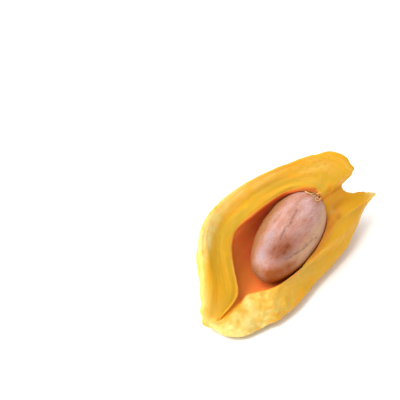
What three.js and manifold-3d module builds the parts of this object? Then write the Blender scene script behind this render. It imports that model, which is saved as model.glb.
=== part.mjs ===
// A jackfruit bulb, opened: the thick yellow pod of flesh that grew round one large seed, pulled off the
// core and slit along its top, so that the two flaps of flesh lie open and the seed shows in its pocket.
// Millimetres, +Z up. +X runs from the pod's closed near tip to its torn far end, +Y towards the taller
// left flap, and the origin is the middle of the flat spot under the belly that the pod lies on.
import * as THREE from "three";
import { mergeVertices } from "three/addons/utils/BufferGeometryUtils.js";
import Module from "manifold-3d";

// The seed: half its length, width and thickness, its middle, and how it lies.
const SEED_HALF = new THREE.Vector3(16.9, 8.6, 8.1);
const SEED_CENTRE = new THREE.Vector3(3.9, -2.0, 13.4);
const SEED_YAW = THREE.MathUtils.degToRad(5);
const SEED_PITCH = THREE.MathUtils.degToRad(8); // its far end is lifted
const SEED_TAPER = 0.06; // the far half is this much fuller
const SEED_BLUNTNESS = 2.1; // over 2, its ends are blunter than an ellipsoid's
const SEED_ROWS = 20;
const SEED_COLUMNS = 32;

// The pod's pocket and belly.
const POCKET_FLOOR = 4.9; // flesh under the seed
const SEED_GAP = 0.5; // clear space between the seed and the pocket's wall
const SEED_GAP_EASE = 0.05; // softens the edge of the hollow that the seed presses
const FOOT_HALF = new THREE.Vector3(17.0, 8.5, 0); // half the length and width of the belly low down

// The pod is drawn through sections that stand round its mouth: from the near crease along the left flap
// to the far end, and back along the right flap. Each has a point on the edge of the pocket's mouth, a
// point on the crest of the rim, and four measures: how far the pocket runs in behind the mouth
// (undercut), how far the outside bulges past the crest (swell, below 0 where it draws in), how far the
// cut face between the two points is raised (pillow), and how far the outer wall shifts to +Y (tuck).
const SECTIONS = [
  // mouth edge, rim crest, undercut, swell, pillow, tuck
  [[-29.2, 0.5, 5.2], [-30.9, 2.7, 3.9], 0.0, 0.3, 0.2, 0.0], // near crease
  [[-22.8, -0.4, 7.6], [-30.2, 5.0, 8.2], 0.1, 0.8, 0.4, 0.0], // near left
  [[-18.3, 1.0, 10.8], [-25.3, 8.1, 13.7], 0.8, 1.2, -0.2, 0.0], // left hollow
  [[-12.2, 6.7, 14.0], [-19.5, 12.6, 18.0], 2.4, 1.4, -0.8, 0.0], // left
  [[-5.3, 10.0, 16.5], [-12.0, 17.0, 21.0], 3.0, 1.4, -0.9, 0.0], // left upper
  [[1.8, 8.6, 18.5], [-0.6, 17.0, 23.5], 3.2, 1.6, -0.8, 0.0], // left shoulder
  [[11.4, 5.4, 20.3], [11.6, 12.1, 25.7], 3.4, 2.6, -0.7, 0.0], // top
  [[16.1, 1.5, 21.2], [21.4, 5.8, 27.2], 2.6, 3.0, -0.6, 0.0], // top far
  [[18.4, -1.5, 21.2], [29.3, -1.4, 28.2], 1.4, 0.2, -0.4, 1.5], // far over
  [[19.2, -2.9, 20.4], [31.1, -7.1, 25.2], 0.8, -3.6, -0.2, 4.6], // left corner
  [[19.6, -3.8, 19.6], [30.9, -8.5, 21.6], 0.4, -5.0, 0.2, 6.5], // left end
  [[21.1, -3.6, 17.4], [31.2, -5.4, 16.4], 0.2, -4.6, 0.4, 5.0], // fold lip
  [[20.5, -3.9, 16.6], [30.4, -4.9, 15.4], 0.1, -4.6, 0.0, 3.0], // fold crack
  [[20.8, -4.3, 15.3], [30.3, -5.7, 14.0], 0.1, -5.0, 0.0, 1.8], // fold shelf
  [[20.1, -5.6, 13.9], [33.4, -7.6, 12.0], 0.2, -6.0, -0.6, 1.4], // right inner
  [[18.0, -7.3, 13.2], [37.7, -9.1, 10.0], 0.3, -7.0, -0.8, 2.0], // right back
  [[15.4, -8.9, 12.7], [39.9, -11.0, 8.2], 0.4, -7.0, -0.2, 1.0], // right tip
  [[11.7, -9.9, 12.6], [36.8, -9.5, 6.8], 0.0, -6.0, 0.3, 0.2], // right far
  [[6.2, -11.2, 11.6], [27.1, -11.6, 5.8], 0.0, -4.0, 0.8, 0.0], // right outer
  [[-1.2, -11.1, 10.9], [15.3, -13.1, 4.8], 0.0, -3.0, 1.1, 0.0], // right mid
  [[-9.2, -9.1, 9.8], [1.7, -12.9, 4.0], 0.0, -2.2, 1.2, 0.0], // right
  [[-14.1, -5.9, 8.7], [-13.2, -13.0, 3.3], 0.2, -1.8, 1.2, 0.0], // right near
  [[-18.0, -1.9, 7.9], [-21.4, -10.0, 2.8], 0.2, -1.4, 0.8, 0.0], // near right
  [[-22.4, -1.9, 6.8], [-29.1, -5.1, 2.8], 0.0, -0.6, 0.5, 0.0], // near tip
].map(([mouth, rim, undercut, swell, pillow, tuck]) => ({
  mouth: new THREE.Vector3(...mouth),
  rim: new THREE.Vector3(...rim),
  undercut,
  swell,
  pillow,
  tuck,
}));
const POCKET_EASING = 4; // rounds that ease the mouth's line deep in the pocket
const BELLY_EASING = 12; // rounds that ease the sections' directions on the belly: no two may cross
const EDGE_WIDTH = 0.9; // how far the rounding of the mouth's edge reaches onto the lip
const THICKEST_RIM = 2;
const THINNEST_RIM = 1;
const THINNEST_SWELL = -7; // the rim is thinnest where the outside draws in this much

// Relief, in mm off the smooth form.
const FIBRE_RIDGE = 0.17; // broad ridges along the left flap's cut face
const FIBRE_RIPPLE = 0.1; // the finer ones between them
const LUMP = 0.24; // soft swellings of the right flap's face
const LUMP_RIPPLE = 0.16; // the smaller ones that cross them
const SKIN_RIDGE = 0.2; // ridges along the skin
const SKIN_RIDGE_CHANGE = 0.08; // how much more or less some of them stand out
const SKIN_RIDGES_A_TURN = 14;

const SAMPLES_A_SECTION = 4; // mesh columns from one section to the next
// Mesh rows from each ring of control points to the next: most where the pocket's wall bends round the
// seed, one where the belly is flat.
const SAMPLES_A_RING = [1, 2, 3, 4, 4, 3, 2, 2, 2, 2, 2, 2, 2, 2, 2, 2, 1, 1, 1, 1];

// Rings of control points run from the middle of the pocket's floor, up its wall, over the lip and down
// the outside to the middle of the belly. These two carry the hand-set points.
const MOUTH_RING = 8;
const RIM_RING = 13;

// The torn fibres at the far end of the mouth: each strand starts inside the flesh and curls over the
// end of the seed. Thick enough to stay whole when the flesh is handled.
const STRAND_RADIUS = 0.32;
const STRAND_SIDES = 6;
const STRAND_STEPS = 9;
const STRANDS = [
  [[20.9, -0.6, 21.2], [18.9, -1.5, 21.7], [17.3, -2.0, 21.9], [15.9, -2.8, 21.9], [15.2, -3.5, 21.8]],
  [[20.8, -2.0, 20.6], [18.9, -2.5, 20.8], [17.2, -3.2, 21.2], [16.2, -4.3, 21.0], [16.6, -5.2, 20.4]],
  [[21.3, -2.6, 19.4], [19.8, -3.4, 19.5], [18.7, -4.0, 19.8], [17.9, -4.7, 20.0]],
  [[21.6, -3.0, 18.2], [20.2, -4.1, 18.4], [18.6, -5.0, 18.9], [16.9, -5.8, 19.5]],
].map((points) => points.map((p) => new THREE.Vector3(...p)));

const clamp01 = (v) => THREE.MathUtils.clamp(v, 0, 1);
const toGround = (v) => new THREE.Vector3(v.x, v.y, 0);
const atHeight = (v, z) => new THREE.Vector3(v.x, v.y, z);
const wave = (turns) => Math.sin(2 * Math.PI * turns);

// Eases from 0 at a to 1 at b, also where b is below a.
function ease(a, b, v) {
  const t = clamp01((v - a) / (b - a));
  return t * t * (3 - 2 * t);
}

// A point of the cubic B-spline whose four control points round this span are given.
function splinePoint(controls, t) {
  const [square, cube] = [t ** 2, t ** 3];
  const weights = [(1 - t) ** 3, 3 * cube - 6 * square + 4, 1 + 3 * t + 3 * square - 3 * cube, cube];
  const point = new THREE.Vector3();
  controls.forEach((c, i) => point.addScaledVector(c, weights[i] / 6));
  return point;
}

// Samples a row of control points, open or closed on itself, with so many samples in each span.
function sampleSpline(controls, samples, closed) {
  const count = controls.length;
  const first = closed ? -1 : 0;
  const points = [];
  samples.forEach((steps, span) => {
    const near = [0, 1, 2, 3].map((i) => controls[(span + first + i + count) % count]);
    for (let step = 0; step < steps; step++) points.push(splinePoint(near, step / steps));
  });
  if (!closed) points.push(splinePoint(controls.slice(-4), 1));
  return points;
}

// Control points of a closed cubic B-spline that passes through the points themselves.
function controlsThrough(points) {
  const rounds = 12;
  let controls = points;
  for (let round = 0; round < rounds; round++)
    controls = controls.map((c, i) => {
      const onCurve = controls.at(i - 1).clone().add(controls[(i + 1) % points.length]);
      onCurve.addScaledVector(c, 4).divideScalar(6);
      return c.clone().add(points[i]).sub(onCurve);
    });
  return controls;
}

// The same closed row of points with its sharp turns eased out.
function eased(points, rounds) {
  let row = points;
  for (let round = 0; round < rounds; round++)
    row = row.map((p, i) => {
      const neighbours = row.at(i - 1).clone().add(row[(i + 1) % row.length]);
      return neighbours.addScaledVector(p, 2).divideScalar(4);
    });
  return row;
}

// The direction that the lip faces at each section, averaged with its neighbours' so that it turns
// slowly, and leant upwards.
function lipFacings(mouth, rim) {
  const upwards = 0.6;
  const raw = mouth.map((m, i) => {
    const round = mouth[(i + 1) % mouth.length].clone().sub(mouth.at(i - 1));
    const facing = round.cross(rim[i].clone().sub(m)).normalize();
    return facing.z < 0 ? facing.negate() : facing;
  });
  return raw.map((facing, i) => {
    const sum = facing.clone().add(raw.at(i - 1)).add(raw[(i + 1) % raw.length]);
    sum.z += upwards;
    return sum.normalize();
  });
}

// How much the pocket's floor rises towards the near crease, where no seed fills it.
const floorRise = (x) => 1.7 * clamp01((-6 - x) / 12) ** 1.5 - clamp01((-19 - x) / 9);

// The 23 control points of one section, from the pocket's pole to the belly's pole. Deep in the pocket
// the wall follows the eased line of the mouth, and the belly the eased direction of the rim.
function sectionControls(section, { mouth, easedMouth, rim, facing, footWay }) {
  const { undercut, swell, pillow, tuck } = section;
  const pole = atHeight(SEED_CENTRE, POCKET_FLOOR);
  const across = rim.clone().sub(mouth);
  const out = toGround(across).normalize();
  const depth = easedMouth.z - POCKET_FLOOR;
  const inPocket = (target, share, shift, z) => {
    const p = pole.clone().lerp(target, share).addScaledVector(out, shift);
    return atHeight(p, z);
  };
  const onLip = (share, height) =>
    mouth.clone().addScaledVector(across, share).addScaledVector(facing, height);

  const floorOuter = inPocket(easedMouth, 0.62, 0, POCKET_FLOOR + 0.05 * depth);
  floorOuter.z += floorRise(floorOuter.x);
  const wall = inPocket(easedMouth, 0.9, undercut, POCKET_FLOOR + 0.45 * depth);
  wall.z = Math.max(wall.z, POCKET_FLOOR + floorRise(wall.x));
  const belowEdge = Math.min(2.2, 0.35 * (mouth.z - POCKET_FLOOR));
  const under = inPocket(mouth.clone().lerp(easedMouth, 0.5), 1, 0.45 * undercut, mouth.z - belowEdge);

  const thin = clamp01(swell / THINNEST_SWELL);
  const shift = new THREE.Vector3(0, tuck, 0);
  const outer = rim.clone().addScaledVector(shift, 0.5).addScaledVector(out, 1 - 2 * thin);
  outer.z -= Math.min(THICKEST_RIM - (THICKEST_RIM - THINNEST_RIM) * thin, 0.3 * rim.z);
  const widest = atHeight(rim.clone().addScaledVector(out, swell).add(shift), 0.5 * rim.z);

  const foot = (share) => footWay.clone().normalize().multiply(FOOT_HALF).multiplyScalar(share);
  const low = atHeight(foot(1).lerp(widest, 0.55), 0.14 * rim.z);

  const edge = across.clone().normalize().multiplyScalar(EDGE_WIDTH);
  return [
    ...[pole, pole, pole],
    inPocket(easedMouth, 0.3, 0, POCKET_FLOOR),
    floorOuter,
    wall,
    under,
    inPocket(mouth, 1, -0.1, mouth.z - 0.5),
    mouth,
    edge.add(mouth).addScaledVector(facing, 0.15),
    onLip(0.3, 0.8 * pillow),
    onLip(0.55, pillow),
    onLip(0.82, 0.35 * pillow + 0.25),
    rim,
    outer,
    widest,
    low,
    foot(1),
    foot(0.62),
    foot(0.3),
    ...[foot(0), foot(0), foot(0)],
  ];
}

// How far the surface stands off its smooth form at a point, a ring number and a section number: fibre
// grooves along the left flap's cut face, soft lumps on the right flap's, and ridges that run the length
// of the skin.
function relief(point, ring, section) {
  const across = (ring - MOUTH_RING) / (RIM_RING - MOUTH_RING);
  const onLip = ease(8.0, 9.2, ring) * ease(13.4, 12.6, ring);
  const onLeft = ease(0.3, 1.8, section) * ease(12.2, 11.2, section);
  const onRight = ease(12.6, 14.0, section) + ease(0.8, 0.0, section);
  const bend = 0.16 * Math.sin(0.9 * section);
  const ripple = FIBRE_RIPPLE * wave(4.3 * across - 0.17 * section + 0.3);
  const fibres = FIBRE_RIDGE * wave(2.6 * across + 0.11 * section + bend) + ripple;
  const swelling = LUMP * Math.sin(2.1 * section + 1.2) * Math.sin(Math.PI * clamp01(across));
  const lumps = swelling + LUMP_RIPPLE * Math.sin(3.7 * section + 5.5 * across);

  const turn = Math.atan2(point.y, point.z - 12);
  const onSkin = ease(13.2, 14.6, ring) * ease(0.6, 4.0, point.z);
  const wander = 1.1 * Math.sin(3 * turn + 0.5) + 0.6 * Math.sin((point.x - 5) / 9 + 2 * turn);
  const height = SKIN_RIDGE + SKIN_RIDGE_CHANGE * Math.sin(5 * turn + 1);
  const ridges = height * Math.sin(SKIN_RIDGES_A_TURN * turn + wander);
  return onLip * (onLeft * fibres + onRight * lumps) + onSkin * ridges;
}

const seedTurn = new THREE.Quaternion()
  .setFromAxisAngle(new THREE.Vector3(0, 0, 1), SEED_YAW)
  .multiply(new THREE.Quaternion().setFromAxisAngle(new THREE.Vector3(0, 1, 0), -SEED_PITCH));
const seedUnturn = seedTurn.clone().invert();

// Moves a point of the pocket out along the ray from the seed's middle until it is clear of the seed.
// The move fades out on the lip.
function keepClearOfSeed(point, ring) {
  const share = ease(11, 9, ring);
  if (share === 0) return point;
  const local = point.clone().sub(SEED_CENTRE).applyQuaternion(seedUnturn);
  const half = SEED_HALF.clone().addScalar(SEED_GAP);
  const fuller = 1 + (SEED_TAPER * local.x) / half.x;
  const girth = Math.hypot(local.y / half.y, local.z / half.z) / fuller;
  const along = Math.abs(local.x / half.x);
  const reach = (along ** SEED_BLUNTNESS + girth ** SEED_BLUNTNESS) ** (1 / SEED_BLUNTNESS);
  const wanted = 0.5 * (reach + 1 + Math.hypot(reach - 1, SEED_GAP_EASE));
  return local
    .multiplyScalar(1 + (wanted / reach - 1) * share)
    .applyQuaternion(seedTurn)
    .add(SEED_CENTRE);
}

// Turns a grid of rows, closed round each row, with one point in its first and last rows, into a closed
// geometry whose faces point away from the grid's inner side.
function closedGrid(rows) {
  const columns = rows[1].length;
  const positions = [rows[0][0], ...rows.slice(1, -1).flat(), rows.at(-1)[0]].flatMap((p) => p.toArray());
  const last = positions.length / 3 - 1;
  const index = [];
  const at = (row, column) => 1 + (row - 1) * columns + (column % columns);
  const apart = (a, b) =>
    Math.hypot(...[0, 1, 2].map((i) => positions[3 * a + i] - positions[3 * b + i]));
  for (let column = 0; column < columns; column++) {
    index.push(0, at(1, column + 1), at(1, column));
    for (let row = 1; row < rows.length - 2; row++) {
      const [a, b] = [at(row, column), at(row, column + 1)];
      const [d, c] = [at(row + 1, column), at(row + 1, column + 1)];
      if (apart(a, c) < apart(b, d)) index.push(a, b, c, a, c, d);
      else index.push(a, b, d, b, c, d);
    }
    index.push(at(rows.length - 2, column), at(rows.length - 2, column + 1), last);
  }
  const geometry = new THREE.BufferGeometry();
  geometry.setAttribute("position", new THREE.Float32BufferAttribute(positions, 3));
  geometry.setIndex(index);
  return geometry;
}

// The facing of each grid point, from its neighbours along and round the grid.
function gridFacings(rows) {
  return rows.map((row, i) =>
    row.map((point, j) => {
      const along = rows[Math.min(i + 1, rows.length - 1)][j].clone().sub(rows[Math.max(i - 1, 0)][j]);
      const round = row[(j + 1) % row.length].clone().sub(row.at(j - 1));
      return round.cross(along).normalize();
    }),
  );
}

function podGeometry() {
  const mouth = controlsThrough(SECTIONS.map((s) => s.mouth));
  const rim = controlsThrough(SECTIONS.map((s) => s.rim));
  const ways = rim.map((p) => new THREE.Vector3(p.x / FOOT_HALF.x, p.y / FOOT_HALF.y, 0).normalize());
  const lines = {
    mouth,
    rim,
    easedMouth: eased(mouth, POCKET_EASING),
    facing: lipFacings(mouth, rim),
    footWay: eased(ways, BELLY_EASING),
  };
  const profiles = SECTIONS.map((section, i) => {
    const places = Object.fromEntries(Object.entries(lines).map(([name, line]) => [name, line[i]]));
    return sampleSpline(sectionControls(section, places), SAMPLES_A_RING, false);
  });
  const round = SECTIONS.map(() => SAMPLES_A_SECTION);
  const ring = (row) => profiles.map((profile) => profile[row]);
  const rows = profiles[0].map((_, row) => sampleSpline(ring(row), round, true));
  const rings = SAMPLES_A_RING.flatMap((steps, span) =>
    Array.from({ length: steps }, (_, step) => 1 + span + step / steps),
  );
  rings.push(1 + SAMPLES_A_RING.length);
  const facing = gridFacings(rows);
  const formed = rows.map((row, i) =>
    row.map((point, j) => {
      const height = relief(point, rings[i], j / SAMPLES_A_SECTION);
      return keepClearOfSeed(point.clone().addScaledVector(facing[i][j], height), rings[i]);
    }),
  );
  return closedGrid(formed);
}

// A strand of fibre: a slim tube along a curve, closed at both ends.
function strandGeometry(points) {
  const section = new THREE.Shape();
  for (let side = 0; side < STRAND_SIDES; side++) {
    const angle = (2 * Math.PI * side) / STRAND_SIDES;
    const [x, y] = [STRAND_RADIUS * Math.cos(angle), STRAND_RADIUS * Math.sin(angle)];
    if (side === 0) section.moveTo(x, y);
    else section.lineTo(x, y);
  }
  return new THREE.ExtrudeGeometry(section, {
    steps: STRAND_STEPS,
    bevelEnabled: false,
    extrudePath: new THREE.CatmullRomCurve3(points),
  });
}

function seedGeometry() {
  const rows = [];
  for (let row = 0; row <= SEED_ROWS; row++) {
    const angle = (Math.PI * row) / SEED_ROWS;
    const power = 2 / SEED_BLUNTNESS;
    const along = -Math.sign(Math.cos(angle)) * Math.abs(Math.cos(angle)) ** power;
    const girth = Math.abs(Math.sin(angle)) ** power * (1 + SEED_TAPER * along);
    rows.push(
      Array.from({ length: SEED_COLUMNS }, (_, column) => {
        const turn = (2 * Math.PI * column) / SEED_COLUMNS;
        const [y, z] = [girth * Math.cos(turn), girth * Math.sin(turn)];
        return new THREE.Vector3(along, y, z).multiply(SEED_HALF);
      }),
    );
  }
  return closedGrid(rows);
}

const MERGE_DISTANCE = 1e-4;

// Closed geometries as manifold-3d solids, joined, and back as a geometry.
async function joined(geometries) {
  const wasm = await Module();
  wasm.setup();
  const solids = geometries.map((geometry) => {
    const bare = new THREE.BufferGeometry().setAttribute("position", geometry.getAttribute("position"));
    bare.setIndex(geometry.index);
    const merged = mergeVertices(bare, MERGE_DISTANCE);
    const vertProperties = merged.attributes.position.array;
    const triVerts = new Uint32Array(merged.index.array);
    return new wasm.Manifold(new wasm.Mesh({ numProp: 3, vertProperties, triVerts }));
  });
  const mesh = solids.reduce((sum, solid) => sum.add(solid)).getMesh();
  const geometry = new THREE.BufferGeometry();
  geometry.setAttribute("position", new THREE.BufferAttribute(mesh.vertProperties, 3));
  geometry.setIndex(new THREE.BufferAttribute(mesh.triVerts, 1));
  return geometry;
}

const fleshMaterial = new THREE.MeshStandardMaterial({ color: 0xe9ac34, roughness: 0.42, metalness: 0 });
const seedMaterial = new THREE.MeshStandardMaterial({ color: 0xbd8b7a, roughness: 0.38, metalness: 0 });

const fleshGeometry = await joined([podGeometry(), ...STRANDS.map(strandGeometry)]);
const flesh = new THREE.Mesh(fleshGeometry, fleshMaterial);
flesh.name = "flesh";
flesh.geometry.computeVertexNormals();

const seed = new THREE.Mesh(seedGeometry(), seedMaterial);
seed.name = "seed";
seed.geometry.computeVertexNormals();
seed.position.copy(SEED_CENTRE);
seed.quaternion.copy(seedTurn);

const bulb = new THREE.Group();
bulb.add(flesh, seed);
export default bulb;
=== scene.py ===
import bpy
import numpy as np
from mathutils import Matrix, Vector


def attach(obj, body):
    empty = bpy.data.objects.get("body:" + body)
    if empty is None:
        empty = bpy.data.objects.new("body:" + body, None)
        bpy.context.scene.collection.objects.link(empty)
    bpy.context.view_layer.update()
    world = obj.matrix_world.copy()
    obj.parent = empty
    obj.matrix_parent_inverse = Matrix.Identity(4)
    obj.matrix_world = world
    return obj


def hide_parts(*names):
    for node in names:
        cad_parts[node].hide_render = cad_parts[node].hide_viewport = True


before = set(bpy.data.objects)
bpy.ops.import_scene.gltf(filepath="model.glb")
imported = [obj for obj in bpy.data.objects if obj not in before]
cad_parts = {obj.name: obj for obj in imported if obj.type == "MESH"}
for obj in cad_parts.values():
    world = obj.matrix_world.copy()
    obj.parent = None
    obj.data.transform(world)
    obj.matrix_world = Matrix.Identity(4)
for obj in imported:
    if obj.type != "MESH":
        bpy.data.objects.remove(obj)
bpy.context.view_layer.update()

# ---- The pod ----
# The edible bulb is one grown piece of firm, juicy flesh that wrapped a single seed. It has been slit
# along its top and folded open into two thick lips around a smooth orange pocket. Its outside keeps
# its lengthwise ribs, and its far end was torn off the fruit, which left a ragged flap and a thin tip.

# Sections of the pod's lip, numbered from 0 on, round the mouth from the near crease by the left flap.
# Each row, in mm, is the mouth edge's x, y, z, the rim crest's x, y, z, how far the wall is undercut
# below the mouth, how far the outside swells past the crest, how far the lip is pillowed, and how far
# its outside is tucked along Y. The fold between the flaps is sections 11 to 13.
POD_SECTIONS = np.array([
    (-29.2, 0.5, 5.2, -30.9, 2.7, 3.9, 0.0, 0.3, 0.2, 0.0),  # near crease
    (-22.8, -0.4, 7.6, -30.2, 5.0, 8.2, 0.1, 0.8, 0.4, 0.0),
    (-18.3, 1.0, 10.8, -25.3, 8.1, 13.7, 0.8, 1.2, -0.2, 0.0),
    (-12.2, 6.7, 14.0, -19.5, 12.6, 18.0, 2.4, 1.4, -0.8, 0.0),  # left flap
    (-5.3, 10.0, 16.5, -12.0, 17.0, 21.0, 3.0, 1.4, -0.9, 0.0),
    (1.8, 8.6, 18.5, -0.6, 17.0, 23.5, 3.2, 1.6, -0.8, 0.0),
    (11.4, 5.4, 20.3, 11.6, 12.1, 25.7, 3.4, 2.6, -0.7, 0.0),  # top
    (16.1, 1.5, 21.2, 21.4, 5.8, 27.2, 2.6, 3.0, -0.6, 0.0),
    (18.4, -1.5, 21.2, 29.3, -1.4, 28.2, 1.4, 0.2, -0.4, 1.5),
    (19.2, -2.9, 20.4, 31.1, -7.1, 25.2, 0.8, -3.6, -0.2, 4.6),  # torn end of the left flap
    (19.6, -3.8, 19.6, 30.9, -8.5, 21.6, 0.4, -5.0, 0.2, 6.5),
    (21.1, -3.6, 17.4, 31.2, -5.4, 16.4, 0.2, -4.6, 0.4, 5.0),
    (20.5, -3.9, 16.6, 30.4, -4.9, 15.4, 0.1, -4.6, 0.0, 3.0),  # fold between the flaps
    (20.8, -4.3, 15.3, 30.3, -5.7, 14.0, 0.1, -5.0, 0.0, 1.8),
    (20.1, -5.6, 13.9, 33.4, -7.6, 12.0, 0.2, -6.0, -0.6, 1.4),
    (18.0, -7.3, 13.2, 37.7, -9.1, 10.0, 0.3, -7.0, -0.8, 2.0),
    (15.4, -8.9, 12.7, 39.9, -11.0, 8.2, 0.4, -7.0, -0.2, 1.0),  # tip of the right flap
    (11.7, -9.9, 12.6, 36.8, -9.5, 6.8, 0.0, -6.0, 0.3, 0.2),
    (6.2, -11.2, 11.6, 27.1, -11.6, 5.8, 0.0, -4.0, 0.8, 0.0),
    (-1.2, -11.1, 10.9, 15.3, -13.1, 4.8, 0.0, -3.0, 1.1, 0.0),
    (-9.2, -9.1, 9.8, 1.7, -12.9, 4.0, 0.0, -2.2, 1.2, 0.0),  # right flap
    (-14.1, -5.9, 8.7, -13.2, -13.0, 3.3, 0.2, -1.8, 1.2, 0.0),
    (-18.0, -1.9, 7.9, -21.4, -10.0, 2.8, 0.2, -1.4, 0.8, 0.0),
    (-22.4, -1.9, 6.8, -29.1, -5.1, 2.8, 0.0, -0.6, 0.5, 0.0),  # near tip
])
# The height of the pocket's floor, and half the length and width of the foot's outer control ring, in mm.
POCKET_FLOOR = 4.9
FOOT_HALF = np.array([17.0, 8.5])
# Rings are numbered from the pocket's floor, over the lip, to the belly: under 8 is the pocket, 8 the
# mouth edge, 13 the rim's crest, 15 the widest one outside and 17 the foot. Controls lie on whole
# numbers, and so many rows of the mesh lie in each span between two of them.
MOUTH, CREST = 8, 13
ROWS_A_SPAN = [1, 3, 5, 8, 8, 7, 6, 6, 10, 12, 14, 12, 10, 16, 20, 16, 6, 2, 2, 2]
COLUMNS_A_SECTION = 24
# Fibres of the outside are 11 times as long as they are wide: patterns are squeezed so much along X. Those
# of the lips run all the way along them: the lip's length is wound onto a ring of this radius, in mm.
OUTSIDE_SQUEEZE = 0.09
LIP_TURN = 2.0

# The seed's half length, width and height in mm, which the pocket is shaped round, and its place.
SEED_HALF = np.array([16.9, 8.6, 8.1])
SEED_CENTRE = np.array([3.9, -2.0, 13.4])
SEED_YAW, SEED_PITCH = np.radians(5.0), np.radians(8.0)
SEED_BLUNTNESS, SEED_TAPER = 2.1, 0.06
# The clear space that the pocket leaves round the seed, in mm, save where its wall hugs the seed.
SEED_GAP = 0.14


def ramp(start, end, value):
    """A smooth step: 0 up to start, 1 from end on, and three t squared less two t cubed between them."""
    t = np.clip((value - start) / (end - start), 0, 1)
    return t * t * (3 - 2 * t)


def eased(points, rounds):
    """A closed row of points, each moved to a quarter of its neighbours and half of itself, repeatedly."""
    for _ in range(rounds):
        points = (np.roll(points, 1, 0) + 2 * points + np.roll(points, -1, 0)) / 4
    return points


def controls_through(points):
    """The controls whose closed cubic B-spline passes through the points: what the spline misses each
    point by is added to its control, twelve times over."""
    controls = points.copy()
    for _ in range(12):
        passes = (np.roll(controls, 1, 0) + 4 * controls + np.roll(controls, -1, 0)) / 6
        controls += points - passes
    return controls


def spline_rows(controls, starts, parts):
    """Points of a uniform cubic B-spline along the first axis: the point at part t of the span that starts
    at a control is the four controls around it, weighed by the four B-spline cubics of t."""
    t = np.asarray(parts, float)
    weights = np.stack([(1 - t) ** 3, 3 * t**3 - 6 * t**2 + 4, -3 * t**3 + 3 * t**2 + 3 * t + 1, t**3], 1) / 6
    around = (np.asarray(starts)[:, None] + np.array([-1, 0, 1, 2])) % len(controls)
    return np.einsum("pk,pk...->p...", weights, controls[around])


def unit(vectors):
    """The vectors scaled to length one."""
    return vectors / np.maximum(np.linalg.norm(vectors, axis=-1, keepdims=True), 1e-9)


def facings(grid):
    """The outward direction at each grid point: the cross product of the steps along and down the grid."""
    down = np.gradient(grid, axis=0)
    along = np.roll(grid, -1, 1) - np.roll(grid, 1, 1)
    return unit(np.cross(along, down))


def to_seed(points):
    """Points in the seed's own axes: less its centre, turned back by its yaw and then by its pitch."""
    x, y, z = np.moveaxis(points - SEED_CENTRE, -1, 0)
    x, y = x * np.cos(SEED_YAW) + y * np.sin(SEED_YAW), y * np.cos(SEED_YAW) - x * np.sin(SEED_YAW)
    return np.stack([x * np.cos(SEED_PITCH) + z * np.sin(SEED_PITCH), y,
                     z * np.cos(SEED_PITCH) - x * np.sin(SEED_PITCH)], -1)


def from_seed(points):
    """Points of the seed's own axes in the frame: pitched, yawed and moved to its centre."""
    x, y, z = np.moveaxis(points, -1, 0)
    x, z = x * np.cos(SEED_PITCH) - z * np.sin(SEED_PITCH), x * np.sin(SEED_PITCH) + z * np.cos(SEED_PITCH)
    return SEED_CENTRE + np.stack([x * np.cos(SEED_YAW) - y * np.sin(SEED_YAW),
                                   x * np.sin(SEED_YAW) + y * np.cos(SEED_YAW), z], -1)


def waves(points, size, seed):
    """Soft natural unevenness of about -1 to 1: a seventh of the sum of 28 sine waves through the points,
    each with a random direction and phase, and a wavelength of 0.7 to 1.4 times the size."""
    draw = np.random.default_rng(seed)
    ways = unit(draw.normal(size=(28, 3))) * (2 * np.pi / size / draw.uniform(0.7, 1.4, (28, 1)))
    phases = draw.uniform(0, 2 * np.pi, 28)
    return np.sin(points @ ways.T + phases).sum(-1) / 7.0


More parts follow.
